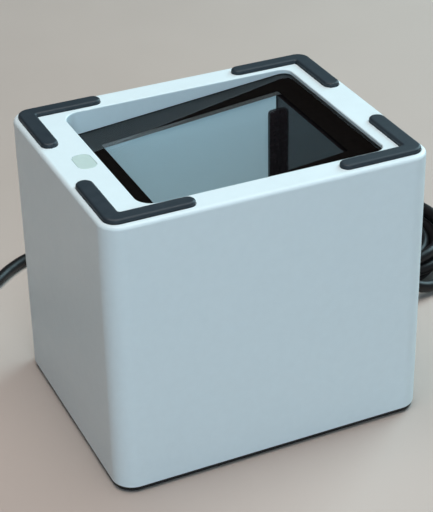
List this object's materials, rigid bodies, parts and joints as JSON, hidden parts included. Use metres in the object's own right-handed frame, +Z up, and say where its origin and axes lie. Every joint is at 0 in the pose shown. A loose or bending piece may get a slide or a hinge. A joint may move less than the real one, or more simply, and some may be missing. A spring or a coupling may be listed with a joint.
{
  "type": "desktop code scanner",
  "caption": "Box-shaped desktop code scanner with a recessed tilted glass window in its top face, rubber corner pads, a status light and a corded plug.",
  "frame": {"origin": "centre of the reader's footprint on the surface it stands on, below the feet", "axes": "+Z up, -Y the front face with the status light above it, +X the reader's right side seen from the front"},
  "size_m": [0.1618, 0.233, 0.1032],
  "materials": {
    "white_shell": "fine matte moulded texture",
    "pad_rubber": "matte slate grey",
    "light_lens": "milky, satin",
    "window_glass": "polished, with a printed black border underneath",
    "gasket_foam": "closed-cell foam",
    "chamber_black": "polished black",
    "diffuser_white": "milky translucent",
    "white_board": "white solder mask",
    "green_board": "green solder mask",
    "chip_black": "moulded epoxy",
    "black_plastic": "satin moulded",
    "camera_glass": "coated lens glass",
    "ivory_plastic": "moulded connector",
    "flat_cable": "flat ribbon",
    "foot_rubber": "matte",
    "steel": "zinc plated",
    "cable_black": "satin cable jacket",
    "tie_black": "smooth nylon band",
    "plug_black": "overmoulded plug"
  },
  "bodies": {
    "root": {"base_plate": "black_plastic", "base_screw_front_left": "steel", "base_screw_front_right": "steel", "base_screw_rear_left": "steel", "base_screw_rear_right": "steel", "buzzer": "black_plastic", "cable_coil": "cable_black", "cable_inner_end": "cable_black", "cable_lead": "cable_black", "cable_run": "cable_black", "cable_socket": "ivory_plastic", "cable_strain_relief": "cable_black", "cable_tie": "tie_black", "camera_board": "green_board", "camera_board_screw_left": "steel", "camera_board_screw_right": "steel", "camera_ribbon": "flat_cable", "chamber_screw_front_left": "steel", "chamber_screw_front_right": "steel", "chamber_screw_rear_left": "steel", "chamber_screw_rear_right": "steel", "corner_pad_front_left": "pad_rubber", "corner_pad_front_right": "pad_rubber", "corner_pad_rear_left": "pad_rubber", "corner_pad_rear_right": "pad_rubber", "diffuser_left": "diffuser_white", "diffuser_right": "diffuser_white", "image_sensor": "chip_black", "lens_barrel": "black_plastic", "lens_front_glass": "camera_glass", "lens_holder": "black_plastic", "light_board_left": "white_board", "light_board_right": "white_board", "light_board_screw_left_lower": "steel", "light_board_screw_left_upper": "steel", "light_board_screw_right_lower": "steel", "light_board_screw_right_upper": "steel", "light_ribbon_left": "flat_cable", "light_ribbon_right": "flat_cable", "main_board": "green_board", "main_board_screw_front_left": "steel", "main_board_screw_front_right": "steel", "main_board_screw_rear_left": "steel", "main_board_screw_rear_right": "steel", "memory_chip": "chip_black", "outer_shell": "white_shell", "processor_chip": "chip_black", "rubber_foot_front_left": "foot_rubber", "rubber_foot_front_right": "foot_rubber", "rubber_foot_rear_left": "foot_rubber", "rubber_foot_rear_right": "foot_rubber", "scan_chamber": "chamber_black", "status_light_board": "green_board", "status_light_lens": "light_lens", "status_ribbon": "flat_cable", "usb_plug_grip": "plug_black", "usb_plug_shell": "steel", "window_gasket": "gasket_foam", "window_glass": "window_glass"}
  },
  "joints": []
}
